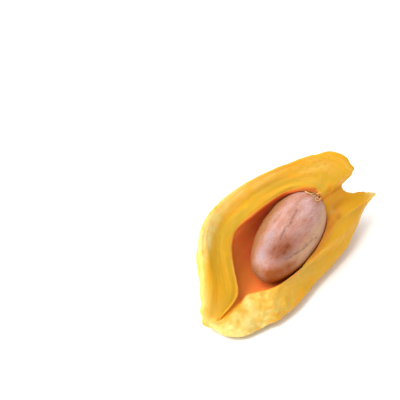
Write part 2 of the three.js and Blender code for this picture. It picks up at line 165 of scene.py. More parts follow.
def pod_rings():
    """Control points of the pod, ring by ring: the pocket's floor and undercut wall, the mouth edge, the
    pillowed lip, the rim crest, and the outside that swells below it and turns in to the flat foot."""
    mouth, crest = controls_through(POD_SECTIONS[:, 0:3]), controls_through(POD_SECTIONS[:, 3:6])
    undercut, swell, pillow, tuck = POD_SECTIONS[:, 6:].T[..., None]
    tuck = tuck * [0, 1, 0]
    flat = np.array([1, 1, 0])
    out = unit((crest - mouth) * flat)
    soft = eased(mouth, 4)
    pole = np.broadcast_to(np.append(SEED_CENTRE[:2], POCKET_FLOOR), mouth.shape)

    def placed(plan, height):
        """Points with the x and y of the plan, at the height."""
        return np.column_stack([plan[:, :2], height])

    def rise(ring):
        """How much higher the floor lies at the near end, in mm: 1.7 times the share of the way from x of -6
        to -18 to the power 1.5, less the share of the way from x of -19 to -28."""
        along = ring[:, 0]
        return 1.7 * np.clip((-6 - along) / 12, 0, 1) ** 1.5 - np.clip((-19 - along) / 9, 0, 1)

    lean = (soft - pole) * flat
    depth = soft[:, 2] - POCKET_FLOOR
    floor_1 = placed(pole + lean * 0.30, POCKET_FLOOR + 0 * depth)
    floor_2 = placed(pole + lean * 0.62, POCKET_FLOOR + 0.05 * depth)
    floor_2[:, 2] += rise(floor_2)
    wall = placed(pole + lean * 0.90 + out * undercut, POCKET_FLOOR + 0.45 * depth)
    wall[:, 2] = np.maximum(wall[:, 2], POCKET_FLOOR + rise(wall))
    height = mouth[:, 2]
    under = placed((mouth + soft) / 2 + out * undercut * 0.45,
                   height - np.minimum(2.2, 0.35 * (height - POCKET_FLOOR)))
    edge_in = placed(mouth - out * 0.1, height - 0.5)
    lip = crest - mouth
    facing = unit(np.cross(np.roll(mouth, -1, 0) - np.roll(mouth, 1, 0), unit(lip)))
    facing *= np.sign(facing[:, 2:])
    facing = unit(np.roll(facing, 1, 0) + facing + np.roll(facing, -1, 0) + [0, 0, 0.6])
    edge_out = mouth + unit(lip) * 0.9 + facing * 0.15
    lips = [mouth + lip * share + facing * (pillow * part + lift)
            for share, part, lift in [(0.30, 0.8, 0), (0.55, 1, 0), (0.82, 0.35, 0.25)]]
    thin = np.clip(-swell / 7, 0, 1)
    top = crest[:, 2:]
    outer = crest + tuck * 0.5 + out * (1 - 2 * thin)
    outer -= np.array([0, 0, 1]) * np.minimum(2 - thin, 0.3 * top)
    widest = placed(crest + out * swell + tuck, 0.5 * crest[:, 2])
    way = eased(unit(crest[:, :2] / FOOT_HALF), 12)
    foot = [np.column_stack([unit(way) * FOOT_HALF * share, 0 * height]) for share in (1, 0.62, 0.3, 0)]
    low = placed(foot[0] * 0.45 + widest * 0.55, 0.14 * crest[:, 2])
    return np.stack([pole, pole, pole, floor_1, floor_2, wall, under, edge_in, mouth, edge_out, *lips,
                     crest, outer, widest, low, foot[0], foot[1], foot[2], foot[3], foot[3], foot[3]])


def grown_ribs(grid, ring, section):
    """The broad relief of the lips and the outside, in mm along the facing: two sine ridges that run along
    the left lip, slow swells on the right one, and ribs around the outside by the angle about its length."""
    x, y, z = np.moveaxis(grid, -1, 0)
    across = (ring - MOUTH) / (CREST - MOUTH)
    left = ramp(0.3, 1.8, section) * ramp(12.2, 11.2, section)
    right = ramp(12.6, 14.0, section) + ramp(0.8, 0.0, section)
    lip = ramp(8.0, 9.2, ring) * ramp(13.4, 12.6, ring)
    ridges = 0.10 * np.sin(2 * np.pi * (2.6 * across + 0.11 * section + 0.16 * np.sin(0.9 * section)))
    ridges += 0.05 * np.sin(2 * np.pi * (4.3 * across - 0.17 * section + 0.3))
    ridges *= 0.6 + 0.4 * ramp(4.0, 6.0, section)
    swells = 0.24 * np.sin(2.1 * section + 1.2) * np.sin(np.pi * np.clip(across, 0, 1))
    swells += 0.16 * np.sin(3.7 * section + 5.5 * across)
    turn = np.arctan2(y, z - 12.0)
    ribs = (0.30 + 0.12 * np.sin(5 * turn + 1))
    ribs = ribs * np.sin(14 * turn + 1.1 * np.sin(3 * turn + 0.5) + 0.6 * np.sin((x - 5) / 9 + 2 * turn))
    outside = ramp(13.2, 14.6, ring) * ramp(0.6, 4.0, z)
    return lip * (left * ridges + right * swells) + outside * ribs


def clear_of_seed(grid, ring):
    """Pocket points moved straight from or to the seed's middle, by the blunt ellipsoid formula that shapes
    the seed. They stay SEED_GAP off it, but on its far and right sides the wall hugs it: there they are
    drawn in by up to 0.02 of their way from the middle, and sink up to 0.18 mm into its skin."""
    own = to_seed(grid)
    x, y, z = np.moveaxis(own / (SEED_HALF + SEED_GAP), -1, 0)
    girth = np.hypot(y, z) / (1 + SEED_TAPER * x)
    reach = (np.abs(x) ** SEED_BLUNTNESS + girth**SEED_BLUNTNESS) ** (1 / SEED_BLUNTNESS)
    rim = np.maximum(ramp(8.6, 7.0, ring), ramp(9.4, 8.4, ring) * ramp(-1.0, -4.5, own[..., 1]))
    hug = ramp(3.0, 4.6, ring) * rim * ramp(1.0, 8.0, own[..., 0] - 1.3 * own[..., 1])
    closed = 1 + np.maximum(reach - 1, 0) * (1 - 0.8 * hug) + np.minimum(reach - 1, 0)
    wanted = 0.5 * (closed + 1 + np.sqrt((closed - 1) ** 2 + 0.05**2)) - 0.02 * hug
    push = (wanted / np.maximum(reach, 1e-6) - 1) * ramp(11.0, 9.0, ring)
    return from_seed(own * (1 + push)[..., None])


def near(section, centre, width):
    """A bell, 1 at the centre and e to the minus square of distance over width away from it, round the
    sections of the pod."""
    half_round = len(POD_SECTIONS) / 2
    away = (section - centre + half_round) % len(POD_SECTIONS) - half_round
    return np.exp(-((away / width) ** 2))


def line_distance(points, line):
    """How far each point lies from a line of straight pieces: the least of its distances to the pieces."""
    line = np.array(line, float)
    found = np.full(points.shape[:-1], 1e9)
    for start, end in zip(line[:-1], line[1:]):
        way = end - start
        share = np.clip((points - start) @ way / (way @ way), 0, 1)
        found = np.minimum(found, np.linalg.norm(points - start - share[..., None] * way, axis=-1))
    return found


def patch(points, centre, size):
    """A soft patch, 1 at its centre and e to the minus square of distance over size away from it."""
    return np.exp(-(((points - np.array(centre)) / np.array(size)) ** 2).sum(-1))


def closed_mesh(name, grid, marks):
    """A closed skin over a grid in mm: quads between its rings, and a fan of triangles to the one point at
    each end. Every mark gives each grid point a number or a vector, kept as an attribute of the mesh."""
    rows, columns = grid.shape[:2]

    def listed(values):
        """A grid's values in the order of the mesh's points: one pole, the rows between, the other pole."""
        inner = values[1:-1].reshape((-1,) + values.shape[2:])
        return np.concatenate([values[:1, 0], inner, values[-1:, 0]])

    here = np.arange(columns)
    following = (here + 1) % columns
    starts = 1 + columns * np.arange(rows - 3)[:, None]
    quads = np.stack([starts + here, starts + following,
                      starts + columns + following, starts + columns + here], -1).reshape(-1, 4)
    last = 1 + columns * (rows - 3)
    end = last + columns
    caps = [np.stack([0 * here, 1 + following, 1 + here], -1),
            np.stack([last + here, last + following, end + 0 * here], -1)]
    mesh = bpy.data.meshes.new(name)
    mesh.from_pydata(listed(grid) / 1000, [], quads.tolist() + np.concatenate(caps).tolist())
    for mark, values in marks.items():
        wide = values.ndim > 2
        layer = mesh.attributes.new(mark, "FLOAT_VECTOR" if wide else "FLOAT", "POINT")
        layer.data.foreach_set("vector" if wide else "value", listed(values).ravel())
    mesh.polygons.foreach_set("use_smooth", np.ones(len(mesh.polygons), bool))
    mesh.validate()
    piece = bpy.data.objects.new(name, mesh)
    bpy.context.scene.collection.objects.link(piece)
    return piece


def row_of(ring, number):
    """The row of the grid that lies nearest to a ring number."""
    return np.argmin(np.abs(ring[:, 0] - number))


def pod_grid():
    """The pod's skin as a grid: the ring controls carried along cubic splines, down and then around. With
    it go each point's ring and section, and how far it lies over the surface from the mouth edge."""
    spans = np.repeat(np.arange(len(ROWS_A_SPAN)), ROWS_A_SPAN)
    parts = np.concatenate([np.arange(n) / n for n in ROWS_A_SPAN])
    last_ring = len(ROWS_A_SPAN) + 1
    rows = spline_rows(pod_rings(), np.append(spans + 1, last_ring), np.append(parts, 0))
    ring = np.append(spans + 1 + parts, float(last_ring))[:, None]
    turns = np.arange(len(POD_SECTIONS) * COLUMNS_A_SECTION)
    section = (turns / COLUMNS_A_SECTION)[None, :]
    grid = spline_rows(np.swapaxes(rows, 0, 1), turns // COLUMNS_A_SECTION,
                       turns % COLUMNS_A_SECTION / COLUMNS_A_SECTION)
    grid = np.swapaxes(grid, 0, 1)
    ring, section = np.broadcast_arrays(ring, section)
    steps = np.linalg.norm(np.diff(grid, axis=0), axis=-1)
    across = np.concatenate([np.zeros((1, grid.shape[1])), np.cumsum(steps, 0)])
    return grid, ring, section, across - across[row_of(ring, MOUTH)]


def torn(grid, ring, section):
    """The grid with its far end torn: points about the crest move along the way from the lip to it, by
    bells for the teeth, less bells for the nicks between them, and a small ragged wave."""
    reach = 0.55 * near(section, 9.62, 0.20) + 0.20 * near(section, 8.65, 0.22)
    reach += 0.30 * near(section, 10.25, 0.22) + 0.30 * near(section, 14.7, 0.16)
    reach -= 0.10 * near(section, 9.20, 0.12) + 0.35 * near(section, 9.92, 0.10)
    reach -= 0.45 * near(section, 7.55, 0.14) + 0.25 * near(section, 13.9, 0.20)
    ragged = 0.16 * waves(np.stack([section * 2.2, 0 * ring, 0.1 * ring], -1), 1.1, 11)
    reach += ragged * (near(section, 9.6, 2.0) + near(section, 15.4, 1.8) + 0.5)
    about_crest = ramp(10.6, 12.8, ring) * ramp(15.0, 13.6, ring)
    way = unit(grid[row_of(ring, CREST)] - grid[row_of(ring, 11)])
    return grid + (about_crest * reach)[..., None] * way


def pod_tints(grid, ring, section, lip, outside):
    """Where each tint lies, from 0 to 1: sums of bells round the sections, of ramps across the lip by its
    share of the way from the mouth edge to the crest, and of soft patches in mm."""
    share = (ring - MOUTH) / (CREST - MOUTH)

    # Pale, partly the flesh's own pale tone and partly painted highlight: the left flap past a line that
    # climbs over its lip, where it is a painted lit band, the near right lip, streaks of painted highlight on
    # the top lip, a thin painted highlight along the left mouth edge, and the thin tip of the right flap.
    turn_pale = 0.66 + 0.28 * ramp(3.6, 2.4, section) - 0.06 * ramp(2.2, 0.8, section)
    pale_and_highlight = 1.2 * ramp(-0.16, 0.14, share - turn_pale) * near(section, 2.6, 2.4) * ramp(1.5, 0.8, share)
    pale_and_highlight *= 0.82 + 0.42 * ramp(2.4, 3.5, section)
    pale_and_highlight += 0.22 * near(section, 7.9, 0.8) * np.exp(-(((share - 0.60) / 0.10) ** 2))
    pale_and_highlight += 0.08 * near(section, 8.3, 0.7) * np.exp(-(((share - 0.30) / 0.12) ** 2))
    lemon = 0.56 + 0.30 * waves(grid, 4.6, 13) + 0.15 * waves(grid, 1.6, 15)
    pale_and_highlight += lemon * near(section, 22.3, 1.25) * ramp(-0.1, 0.2, share)
    pale_and_highlight += 0.55 * near(section, 23.7, 1.1) * ramp(0.2, 0.9, share)
    pale_and_highlight += 0.30 * near(section, 19.9, 0.7) * np.exp(-(((share - 0.4) / 0.4) ** 2))
    pale_and_highlight += 0.40 * near(section, 2.5, 0.7) * np.exp(-(((share - 0.08) / 0.04) ** 2))
    pale_and_highlight += 1.5 * patch(grid, (38.5, -10.5, 8.5), (2.6, 2.0, 2.0))
    pale_and_highlight += 0.55 * patch(grid, (20.7, -7.1, 12.9), (2.2, 1.2, 2.0))

    # Greenish: the left lip near its mouth edge, less where it is golden, and the near right lip. On the left
    # lip the lime is partly painted shade that darkens its face.
    golden = near(section, 5.0, 1.2) + near(section, 1.0, 1.3)
    green_and_shade = ramp(0.4, 1.4, section) * ramp(9.9, 9.2, section)
    green_and_shade *= ramp(1.0 - 0.35 * golden, 0.45 - 0.1 * golden, share)
    green_and_shade *= 0.75 + 0.25 * near(section, 3.0, 2.0)
    green_and_shade += 0.35 * ramp(5.0, 6.5, section) * ramp(10.0, 9.0, section) * ramp(0.5, 1.0, share)
    green_and_shade += near(section, 21.9, 1.8) * ramp(-0.2, 0.2, share) * (0.58 + 0.25 * waves(grid, 5.0, 12))
    green_and_shade += 0.35 * near(section, 23.3, 1.1) * ramp(0.0, 0.3, share)

    # Amber: the top lip, the fold and the shelf beside it; along the fold it is a band of painted shade.
    # Painted shade:
    # a deeper gold over the middle of both near lips.
    amber_and_shade = 0.45 * near(section, 12.8, 1.4) * ramp(1.3, 0.3, share)
    amber_and_shade += 0.3 * near(section, 7.8, 1.5) * ramp(0.1, 0.5, share)
    amber_and_shade += 0.55 * near(section, 6.6, 1.2) * np.exp(-(((share - 0.85) / 0.30) ** 2))
    amber_and_shade += 0.6 * patch(grid, (25.0, -6.3, 12.8), (4.5, 1.8, 2.5)) + 0.25 * outside
    # A wider band of painted shade along the fold.
    amber_and_shade += 0.45 * near(section, 12.0, 0.8) * lip
    shade_gold = near(section, 1.7, 1.5) * ramp(0.05, 0.2, share) * ramp(0.98, 0.80, share)
    shade_gold += 0.5 * near(section, 22.5, 1.5) * ramp(0.1, 0.3, share)

    # Brown: darker patches on the shelf, painted shade along the right mouth edge beside the seed, and fine
    # specks on the top lip.
    brown_and_shade = 0.45 * patch(grid, (24.6, -6.4, 13.0), (2.6, 1.3, 1.6))
    brown_and_shade += 0.9 * patch(grid, (21.0, -8.8, 12.1), (1.3, 0.9, 1.1))
    brown_and_shade += 0.5 * patch(grid, (22.6, -6.6, 13.2), (0.8, 1.6, 1.2))
    brown_and_shade += 0.7 * near(section, 16.6, 2.8) * ramp(10.2, 8.9, ring)
    specks = 0.5 * ramp(0.35, 0.8, waves(grid, 1.3, 16))
    brown_and_shade += specks * near(section, 7.6, 1.0) * ramp(0.2, 0.4, share) * ramp(1.0, 0.8, share)

    # In the pocket: deep red behind the seed, partly painted shade that reaches under it, painted shade in
    # brick red under the top lip, and a painted glow low on the right edge.
    deep = ramp(-12.0, -2.0, grid[..., 0]) * ramp(-1.0, 5.0, grid[..., 1])
    deep += 0.8 * patch(grid, (-9.5, -1.5, 5.4), (4.5, 3.5, 2.5))
    deep += 0.9 * patch(grid, (-6.0, -6.5, 7.0), (7.0, 3.0, 3.0))
    shade_under_lip = 0.8 * near(section, 7.9, 2.0) * ramp(9.0, 8.3, ring) * ramp(7.0, 8.0, ring)
    shade_under_lip *= ramp(0.0, 8.0, grid[..., 0])
    glow = near(section, 17.2, 3.2) * ramp(9.9, 8.6, ring)
    near_end = ramp(-17.0, -24.0, grid[..., 0])

    # Silky: how much the fibres of the flesh show.
    silky = 0.40 + 0.6 * ramp(3.0, 5.5, section) * ramp(11.0, 9.8, section)
    silky += 0.3 * outside - 0.3 * near(section, 14.3, 2.2)
    return {"pale_and_highlight": pale_and_highlight, "green_and_shade": green_and_shade, "amber_and_shade": amber_and_shade, "shade_gold": shade_gold, "brown_and_shade": brown_and_shade, "deep": deep,
            "shade_under_lip": shade_under_lip, "glow": glow, "near_end": near_end, "silky": silky}


def pod_piece():
    """The pod's skin: its grid raised along its facings by ribs, fibres and lumps, sunk at the fold and the
    crease, torn at the far end and fitted round the seed. Behind the seed its walls sink into each other."""
    grid, ring, section, across = pod_grid()
    lip = ramp(8.0, 9.0, ring) * ramp(14.2, 12.8, ring)
    outside = ramp(13.0, 14.2, ring) * ramp(0.2, 2.5, grid[..., 2])
    pocket = np.maximum(ramp(8.9, 7.7, ring), 0.85 * ramp(9.7, 8.5, ring) * near(section, 17.2, 2.2))
    right_near = near(section, 21.3, 2.2) * lip

    # Fibres run along the lips and along the outside: their waves are stretched that way.
    angle = 2 * np.pi * section / len(POD_SECTIONS)
    along_lip = np.stack([LIP_TURN * np.cos(angle), LIP_TURN * np.sin(angle), across], -1)
    along_pod = grid * [OUTSIDE_SQUEEZE, 1, 1]
    lip_fibres = waves(along_lip, 0.85, 3) * (0.6 + 0.4 * waves(grid, 7.0, 4))
    pod_fibres = waves(along_pod, 1.2, 5) * (0.6 + 0.4 * waves(grid, 8.0, 6))
    lumps = waves(grid, 3.6, 7) + 0.5 * waves(grid, 1.5, 8)

    height = grown_ribs(grid, ring, section)
    height += 0.028 * lip_fibres * lip * (1 - 0.6 * right_near)
    height += 0.075 * pod_fibres * outside
    height += (0.15 * lumps + 0.035 * waves(grid, 0.9, 14)) * right_near
    height += 0.035 * lumps * (lip + outside)
    # The left lip rolls over into a rounded rim past a soft step.
    rolled = ramp(0.58, 0.80, (ring - MOUTH) / (CREST - MOUTH)) * ramp(14.2, 12.9, ring)
    height += 0.25 * rolled * near(section, 2.4, 1.8)
    height += 0.18 * waves(grid, 11.0, 9) * outside + 0.05 * waves(along_pod, 2.4, 10) * pocket
    # The fold is a sharp groove between the flaps, and the crease a fine one at the near end.
    fold = near(section, 11.85, 0.42) * ramp(7.6, 8.6, ring) * ramp(14.0, 12.6, ring)
    crease = near(section, 0.0, 0.35) * ramp(7.5, 8.0, ring) * ramp(9.6, 8.4, ring)
    height -= 0.16 * fold + 0.20 * crease
    grid = grid + facings(grid) * height[..., None]

    # The pocket's floor comes up to just under the mouth edge where the near end closes.
    edge_height = grid[row_of(ring, MOUTH), :, 2]
    shallow = pocket * ramp(-18.0, -22.5, grid[..., 0])
    grid[..., 2] += shallow * np.maximum(edge_height - 0.2 - grid[..., 2], 0)

    grid = torn(grid, ring, section)
    grid[..., 2] = np.maximum(grid[..., 2], 0)
    grid = clear_of_seed(grid, ring)

    tints = pod_tints(grid, ring, section, lip, outside)
    tints["pale_and_highlight"] = tints["pale_and_highlight"] * (1 - pocket)
    tints["green_and_shade"] = tints["green_and_shade"] * (1 - pocket)
    tints["deep"] = tints["deep"] * pocket
    # The fold's groove and the crease get painted shade.
    tints["fold"] = 0.7 * fold + 0.5 * crease
    tints["fibre"] = 0.5 + 0.25 * (lip_fibres * lip + pod_fibres * outside)
    marks = {name: np.clip(tint, 0, 1) for name, tint in tints.items()}
    marks |= {"pocket": pocket, "outside": outside, "grain": along_lip / 1000}
    return closed_mesh("pod", grid, marks)


def linear(sheet):
    """An sRGB hex colour turned linear: each channel over 12.92 when low, or else its sum with 0.055 over
    1.055, to the power 2.4."""
    channels = np.array([int(sheet[i:i + 2], 16) for i in (1, 3, 5)]) / 255
    turned = np.where(channels <= 0.04045, channels / 12.92, ((channels + 0.055) / 1.055) ** 2.4)
    return (*turned.tolist(), 1.0)


def add(tree, kind, settings=(), **sockets):
    """One shader node with its settings, and its sockets set to values or linked to other nodes' outputs.
    A socket is named in words joined by underscores, or by its number after the letter s."""
    made = tree.nodes.new("ShaderNode" + kind)
    for setting, value in dict(settings).items():
        setattr(made, setting, value)
    for name, value in sockets.items():
        numbered = name[0] == "s" and name[1:].isdigit()
        socket = made.inputs[int(name[1:]) if numbered else name.replace("_", " ")]
        if isinstance(value, bpy.types.NodeSocket):
            tree.links.new(value, socket)
        else:
            socket.default_value = value
    return made


def tinted(tree, colour, layers):
    """A colour with tints laid over it in turn. A layer is its tint, its strength and what places it: marks
    of the mesh by name, or patterns, each with the value where it starts and the one where it is full."""
    for tint, strength, *sources in layers:
        share = strength
        for source, start, full in sources:
            if isinstance(source, str):
                source = add(tree, "Attribute", {"attribute_name": source}).outputs["Fac"]
            part = add(tree, "MapRange", Value=source, From_Min=start, From_Max=full).outputs[0]
            share = add(tree, "Math", {"operation": "MULTIPLY"}, s0=share, s1=part).outputs[0]
        colour = add(tree, "Mix", {"data_type": "RGBA"}, s0=share, s6=colour, s7=tint).outputs[2]
    return colour


# Jackfruit flesh: firm, wet and a little see-through, torn and pulled open by hand. Light goes a few
# millimetres into it, which fills its folds with warm orange. Its cut lips have silky fibres, pale
# where they stand up, and its gloss is a thin film of juice.
def flesh_material():
    gold, straw_and_highlight, lime_and_shade = linear("#d6a014"), linear("#d6c67c"), linear("#b08e24")
    orange, fold_shade_orange, brown_and_shade_tone = linear("#e08e1a"), linear("#dc8a22"), linear("#be781a")
    pocket_orange, pocket_red_and_shade, shallow = linear("#dc8036"), linear("#e46838"), linear("#dc9a28")
    shade_under_lip, glow, shade_gold = linear("#a03e18"), linear("#ec8c34"), linear("#b98a12")
    material = bpy.data.materials.new("jackfruit flesh, torn open")
    material.use_nodes = True
    tree = material.node_tree
    tree.nodes.clear()

    place = add(tree, "TexCoord").outputs["Object"]
    grain = add(tree, "Attribute", {"attribute_name": "grain"}).outputs["Vector"]
    stretched = add(tree, "Mapping", Scale=(OUTSIDE_SQUEEZE, 1, 1), Vector=place).outputs[0]
    # Fibres of the lips are 0.6 mm apart and those of the outside 1.1 mm, mottles are 3.5 mm across and
    # pores 0.5 mm. Real fibres and pores are too fine to show, so they are drawn coarser than they are.
    lip_silk = add(tree, "TexNoise", Vector=grain, Scale=1000 / 0.6, Detail=4.0, Roughness=0.6).outputs[0]
    pod_silk = add(tree, "TexNoise", Vector=stretched, Scale=1000 / 1.1, Detail=4.0, Roughness=0.6).outputs[0]
    mottle = add(tree, "TexNoise", Vector=place, Scale=1000 / 3.5, Detail=5.0, Roughness=0.6).outputs[0]
    pores = add(tree, "TexNoise", Vector=place, Scale=1000 / 0.5, Detail=3.0, Roughness=0.6).outputs[0]
    outside = add(tree, "Attribute", {"attribute_name": "outside"}).outputs["Fac"]
    silk = add(tree, "Mix", {"data_type": "FLOAT"}, s0=outside, s2=lip_silk, s3=pod_silk).outputs[0]

    # Painted light in these layers: the straw over the pale mark is partly painted highlight; the lime, the
    # deeper gold, the fold's orange and the amber band along the fold are painted shade.
    colour = tinted(tree, gold, [
        (orange, 1.0, ("amber_and_shade", 0, 1), (silk, 0.25, 0.75)),
        (straw_and_highlight, 0.42, ("silky", 0, 1), (mottle, 0.30, 0.62), (silk, 0.46, 0.66)),
        (orange, 0.55, ("silky", 0, 1), (mottle, 0.30, 0.62), (silk, 0.52, 0.34)),
        (lime_and_shade, 1.0, ("green_and_shade", 0, 1), (mottle, 0.0, 0.45)),
        (shade_gold, 0.7, ("shade_gold", 0, 1)),
        (straw_and_highlight, 1.0, ("pale_and_highlight", 0, 1), (mottle, 0.22, 0.56)),
        (orange, 0.5, ("fibre", 0.55, 0.20)),
        (brown_and_shade_tone, 1.0, ("brown_and_shade", 0, 1), (mottle, 0.15, 0.55)),
        (fold_shade_orange, 0.8, ("fold", 0, 1)),
    ])
    # In the pocket the red is partly painted shade, the brick is painted shade and the glow is painted light.
    inner = tinted(tree, pocket_orange, [
        (pocket_red_and_shade, 1.0, ("deep", 0, 1), (mottle, 0.1, 0.6)),
        (shade_under_lip, 1.0, ("shade_under_lip", 0, 1)),
        (glow, 1.0, ("glow", 0, 1)),
        (shallow, 1.0, ("near_end", 0, 1)),
    ])
    colour = tinted(tree, colour, [(inner, 1.0, ("pocket", 0, 1))])

    bumps = add(tree, "Math", {"operation": "MULTIPLY_ADD"}, s0=silk, s1=1.0, s2=pores).outputs[0]
    bump = add(tree, "Bump", Strength=0.35, Distance=0.00012, Height=bumps).outputs[0]
    wet = add(tree, "MapRange", Value=mottle, From_Min=0.3, From_Max=0.7, To_Min=0.34, To_Max=0.52).outputs[0]
    shader = add(tree, "BsdfPrincipled", {"subsurface_method": "RANDOM_WALK"},
                 Base_Color=colour, Roughness=wet, Normal=bump, IOR=1.38, Specular_IOR_Level=0.2,
                 Subsurface_Weight=0.6, Subsurface_Radius=(1.0, 0.42, 0.10), Subsurface_Scale=0.0018)
    add(tree, "OutputMaterial", Surface=shader.outputs[0])
    return material


pod = pod_piece()
pod.data.materials.append(flesh_material())
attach(pod, "root")
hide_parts("flesh")

# ---- The seed ----
# One oblong seed in its pocket, still in its own skin. A thin, tough, slightly see-through membrane
# wraps the brown kernel, silky pink where it lies loose, amber where it is wet and clings. Fine dark
# veins run along it. Nothing fastens it: the fibres at its far end pass close by and do not touch it.
SEED_ROWS, SEED_COLUMNS = 150, 240
# Veins, as points on the seed in its own axes (mm), with the width and depth of the groove. The last
# one stands up as a fine wrinkle.
SEED_VEINS = [
    ([(4.3, -1.3, 7.9), (1.8, -1.6, 8.0), (-1.0, -1.8, 7.9), (-3.3, -1.5, 7.8), (-5.4, -1.5, 7.5),
      (-7.1, -1.6, 7.1)], 0.26, 0.07),
    ([(1.8, -8.4, 1.9), (-1.4, -8.0, 2.9), (-4.3, -7.5, 3.2), (-6.4, -7.0, 3.4), (-8.9, -6.0, 3.7),
      (-10.9, -5.1, 3.7)], 0.28, 0.06),
    ([(6.6, 1.6, 7.5), (6.2, -0.2, 7.7), (5.7, -1.6, 7.7)], 0.22, -0.04),
]


def seed_grid():
    """The seed's rings from its near end to its far one. Along and around are blunt sines and cosines,
    to the power two over its bluntness, and its girth grows by the taper towards the far end."""
    along = np.linspace(0, np.pi, SEED_ROWS)[:, None]
    around = np.arange(SEED_COLUMNS) * 2 * np.pi / SEED_COLUMNS
    power = 2 / SEED_BLUNTNESS
    x = -np.sign(np.cos(along)) * np.abs(np.cos(along)) ** power * np.ones(SEED_COLUMNS)
    girth = np.abs(np.sin(along)) ** power * (1 + SEED_TAPER * x)
    return np.stack([x, girth * np.cos(around), girth * np.sin(around)], -1) * SEED_HALF


def seed_tints(own):
    """Where each tint lies on the seed, from 0 to 1, in its own axes: sums of soft patches and of ramps
    along an axis, unsettled by slow waves."""
    x, y, z = np.moveaxis(own, -1, 0)
    brown = 0.7 * patch(own, (-9.4, -2.6, 6.0), (3.8, 3.0, 2.8))
    brown += 0.45 * patch(own, (-6.6, -4.4, 5.6), (5.0, 2.6, 2.4))
    brown += 0.4 * patch(own, (-11.4, -1.2, 5.4), (2.4, 3.0, 2.4))
    brown *= 1.05 + 0.20 * waves(own, 2.4, 26)
    # The membrane clings low on the near end, amber and wet, with a bright line along its edge, painted in
    # with the sheen.
    # Low along the right flank the amber is painted shade.
    low = z + 0.3 * waves(own, 3.0, 27)
    clinging = ramp(0.4, -3.2, y) * ramp(-5.0, -11.5, x)
    amber_and_shade = np.maximum(ramp(4.3, 1.7, low) * clinging * (0.95 + 0.10 * waves(own, 2.2, 28)),
                       0.45 * ramp(2.6, -0.4, low) * ramp(-4.0, -7.5, y))
    amber_and_shade += 0.5 * patch(own, (-15.8, -1.2, 1.6), (1.6, 2.4, 1.8))
    # Sheen: a painted highlight, broad on the seed's left side and thin along the clinging membrane's edge.
    sheen = 0.8 * patch(own, (-12.8, 1.8, 4.8), (3.4, 1.9, 3.0))
    sheen += 0.8 * patch(own, (-7.6, 1.6, 7.2), (3.4, 1.5, 2.4))
    sheen += 0.6 * np.exp(-(((low - 4.3) / 0.45) ** 2)) * clinging
    tan = ramp(5.8, 2.8, low) * ramp(-3.8, -7.2, y)
    mauve = patch(own, (6.4, -5.0, 6.0), (3.2, 2.2, 2.8))
    mauve += 0.5 * patch(own, (9.5, -2.0, 6.4), (2.6, 2.6, 2.6))
    # Olive: the left edge, and painted shade all round the seed's underside.
    olive_and_shade = ramp(2.0, 5.6, y) + patch(own, (-16.2, 2.4, 1.2), (1.5, 2.6, 2.4)) + ramp(1.2, -1.2, z)
    return {"brown": brown, "amber_and_shade": amber_and_shade, "sheen": sheen, "tan": tan, "mauve": mauve, "olive_and_shade": olive_and_shade}


def seed_piece():
    """The seed's skin: its own grid raised along its facings by wrinkles of the membrane, less the veins'
    grooves, each e to the minus square of the distance from its line over its width."""
    own = seed_grid()
    stretched = own * [0.25, 1, 1]
    wrinkles = waves(stretched, 1.3, 21) * (0.6 + 0.5 * waves(own, 6.0, 22))
    height = 0.035 * wrinkles + 0.05 * waves(own, 7.0, 23)
    vein = np.zeros(own.shape[:-1])
    broken = np.clip(0.6 + 0.5 * waves(own, 1.6, 24), 0.15, 1)
    for line, width, depth in SEED_VEINS:
        away = line_distance(own + 0.07 * waves(own, 2.6, 25)[..., None], line)
        groove = np.exp(-((away / width) ** 2)) + 0.3 * np.exp(-((away / width / 3) ** 2))
        height -= depth * groove
        vein = np.maximum(vein, groove * broken * (depth > 0))
    ends = np.sin(np.linspace(0, np.pi, SEED_ROWS))[:, None] ** 0.5
    grid = from_seed(own + facings(own) * (height * ends)[..., None])
    tints = seed_tints(own) | {"vein": vein}
    return closed_mesh("seed_in_its_skin", grid, {name: np.clip(tint, 0, 1) for name, tint in tints.items()})


